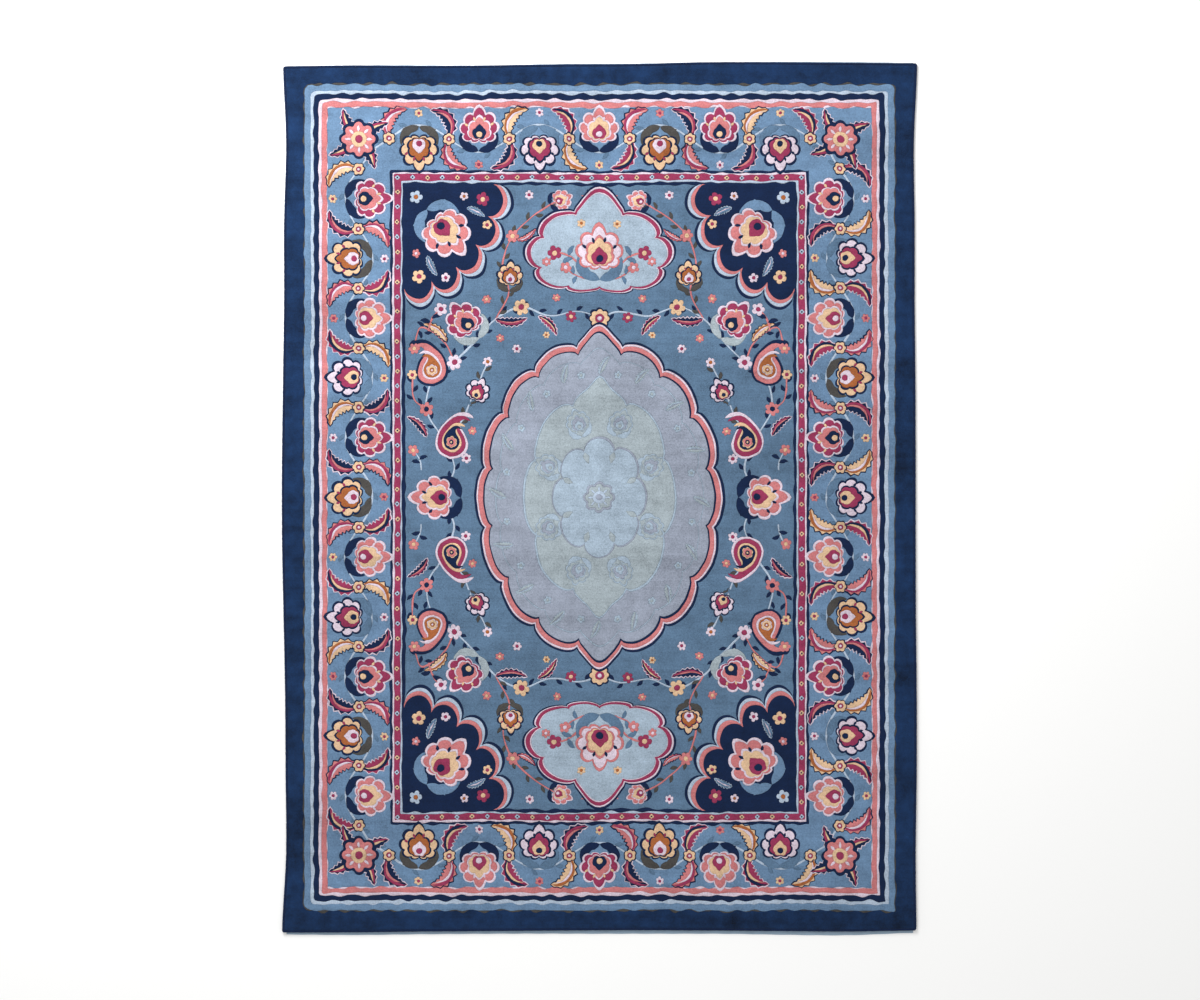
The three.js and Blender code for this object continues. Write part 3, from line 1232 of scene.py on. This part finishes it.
def wool(yarn, uneven=1.0):
    """Dyed wool in cut pile, very rough with a soft sheen. The dye took unevenly, in clouds
    and in bands across the rug where a new skein began. The pattern is the same all the way
    down the pile, as the fibres stand upright in it."""
    material, tree, shader = new_material("wool_" + yarn)
    place = add_node(tree, "TexCoord").outputs["Object"]

    # The fibres push each tuft a little out of its row
    links = {"Vector": place, "Scale": 1 / 0.003, "Detail": 2.0, "Roughness": 0.5}
    push = add_node(tree, "TexNoise", links, noise_dimensions="2D").outputs[1]
    links = {0: push, 1: (0.5, 0.5, 0.5)}
    push = add_node(tree, "VectorMath", links, operation="SUBTRACT").outputs[0]
    links = {0: push, 1: (TUFT_PUSH, TUFT_PUSH, TUFT_PUSH), 2: place}
    pushed = add_node(tree, "VectorMath", links, operation="MULTIPLY_ADD").outputs[0]
    links = {"Vector": pushed, "Scale": 1 / TUFT_WIDTH, "Smoothness": 0.35}
    cells = add_node(tree, "TexVoronoi", links, voronoi_dimensions="2D", feature="SMOOTH_F1")
    tuft = cells.outputs["Distance"]

    # What lightens and darkens the wool, from its fibres to whole skeins of yarn
    links = {"Vector": place, "Scale": (0.035, 1.0, 1.0)}
    across_rug = add_node(tree, "Mapping", links).outputs[0]
    grains = (
        # name, size in metres, detail, roughness, place, strength
        ("fibre", 0.0016, 3.0, 0.75, place, 0.25),
        ("mottle", 0.0075, 4.0, 0.6, place, 0.75),
        ("cloud", 0.045, 4.0, 0.6, place, 0.55 * uneven),
        ("lay of the pile", 0.20, 3.0, 0.5, place, 0.40 * uneven),
        ("row", 0.012, 3.0, 0.7, across_rug, 0.32),
        ("skein", 0.10, 2.0, 0.5, across_rug, 0.45 * uneven),
    )
    grain = {}
    # Painted shade: each tuft is darker towards its edge, where the pile dips between the tufts
    parts = [(tuft, -0.40)]
    for name, size, detail, roughness, vector, strength in grains:
        links = {"Vector": vector, "Scale": 1 / size, "Detail": detail, "Roughness": roughness}
        grain[name] = add_node(tree, "TexNoise", links, noise_dimensions="2D").outputs[0]
        parts.append((grain[name], strength))
    # Noise is a half on average, which the first number makes up for
    light = added_up(tree, 0.625 - 0.70 * uneven, parts)

    standing = [(tuft, -0.9), (grain["fibre"], 0.7), (grain["mottle"], 0.6), (grain["row"], 0.5)]
    relief = {"Height": added_up(tree, 0.0, standing), "Strength": 0.75, "Distance": 0.0020}
    roughness = added_up(tree, 0.88, [(grain["mottle"], 0.14)])
    dress(tree, shader, YARNS[yarn], light, roughness, relief)
    shader.inputs["IOR"].default_value = 1.54
    # Most of the light that the fibres mirror is lost between them
    shader.inputs["Specular IOR Level"].default_value = 0.12
    shader.inputs["Sheen Weight"].default_value = 0.06
    shader.inputs["Sheen Roughness"].default_value = 0.5
    return material


def woven_cotton(name, hex_colour, thread):
    """Plain woven cotton, whose threads cross over and under each other."""
    material, tree, shader = new_material(name)
    place = add_node(tree, "TexCoord").outputs["Object"]
    threads = []
    for direction in ("X", "Y"):
        links = {"Vector": place, "Scale": TAU / 20 / thread, "Distortion": 0.6, "Detail": 1.0}
        wave = add_node(tree, "TexWave", links, bands_direction=direction)
        threads.append(wave.outputs["Fac"])
    links = {"Vector": place, "Scale": 1 / 0.06, "Detail": 4.0}
    wear = add_node(tree, "TexNoise", links).outputs[0]
    light = added_up(tree, 0.62, [(threads[0], 0.12), (threads[1], 0.12), (wear, 0.5)])
    height = added_up(tree, 0.0, [(threads[0], 0.5), (threads[1], 0.5), (wear, 0.3)])
    relief = {"Height": height, "Strength": 0.5, "Distance": 0.0006}
    roughness = added_up(tree, 0.8, [(wear, 0.2)])
    dress(tree, shader, hex_colour, light, roughness, relief)
    shader.inputs["IOR"].default_value = 1.53
    shader.inputs["Sheen Weight"].default_value = 0.15
    return material


def floor_material():
    """A matt white studio floor."""
    material, _, shader = new_material("studio_floor")
    shader.inputs["Base Color"].default_value = linear("#fbfbfa")
    shader.inputs["Roughness"].default_value = 0.9
    return material


# The pieces


def add_piece(mesh, material, node):
    """A finished piece of the rug, which replaces this CAD node."""
    mesh.materials.append(material)
    piece = bpy.data.objects.new(mesh.name, mesh)
    bpy.context.collection.objects.link(piece)
    bpy.ops.object.select_all(action="DESELECT")
    piece.select_set(True)
    bpy.context.view_layer.objects.active = piece
    bpy.ops.object.shade_smooth_by_angle(angle=math.radians(60))
    # The tops stay flat in the light and only the narrow faces round them off
    bpy.ops.object.modifier_add(type="WEIGHTED_NORMAL")
    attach(piece, "root")
    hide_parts(node)
    return piece


draw_chart()
edge = cloth_outline(0.006)
chart = [(spared(by_hand(outline)), yarn) for outline, yarn in chart]
# Painted shade: the outermost pile is darker than the plain border inside it, standing in for the
# shade of the rolled edge
chart = [(edge, "border_navy"), (spared(grown(edge, -RIM_SHADE_WIDTH)), "outer_navy"), *chart]

corners, triangles, yarn_number = planar_map()
_, twin, is_open = open_sides(triangles, yarn_number)
corner_number = pile_corners(triangles, twin, is_open)
corner_places = corners[triangles.ravel()]
open_side = is_open.reshape(-1, 3)
edge_side = (twin < 0).reshape(-1, 3)

PLAIN_BORDER_UNEVEN = 2.4  # the plain border shows the uneven dye the most

for number, yarn in enumerate(YARNS):
    own = yarn_number == number
    if own.any():
        mesh = pile_mesh(
            "pile_" + yarn, corner_places, corner_number[own], open_side[own], edge_side[own]
        )
        pile = wool(yarn, PLAIN_BORDER_UNEVEN if yarn == "outer_navy" else 1.0)
        add_piece(mesh, pile, "pile_cloth")

band_cotton = woven_cotton("band_cotton", "#8fa5b8", 0.0016)
for node, outwards_along in (("front_end_band", -1), ("back_end_band", 1)):
    mesh = band_mesh(node, outwards_along)
    add_piece(mesh, band_cotton, node)

backing_cotton = woven_cotton("backing_cotton", "#bfb8a8", 0.0030)
mesh = foundation_mesh(cloth_outline(0.022))
foundation = add_piece(mesh, backing_cotton, "pile_cloth")

# The studio: a white floor, a soft light at the upper left and an even, paler sky
bpy.ops.mesh.primitive_plane_add(size=30, location=(0, 0, 0))
floor = bpy.context.active_object
floor.name = "studio_floor"
floor.data.materials.append(floor_material())

# The camera looks straight down
CAMERA_AT = (0.0019, -0.0058, 6.445)
bpy.ops.object.camera_add(location=CAMERA_AT, rotation=(0, 0, 0))
camera = bpy.context.active_object
camera.data.lens = 50
camera.data.sensor_width = 36
bpy.context.scene.camera = camera

LIGHT_AT = Vector((-2.0, 3.6, 3.4))
bpy.ops.object.light_add(type="AREA", location=LIGHT_AT)
softbox = bpy.context.active_object
softbox.rotation_euler = (-LIGHT_AT).to_track_quat("-Z", "Y").to_euler()
softbox.data.size = 2.4
softbox.data.energy = 285

world = bpy.data.worlds.new("studio_world")
world.use_nodes = True
sky = world.node_tree.nodes["Background"]
sky.inputs["Color"].default_value = (1.0, 1.0, 1.0, 1.0)
sky.inputs["Strength"].default_value = 0.71
bpy.context.scene.world = world
bpy.context.scene.view_settings.view_transform = "Standard"

bpy.ops.object.select_all(action="DESELECT")
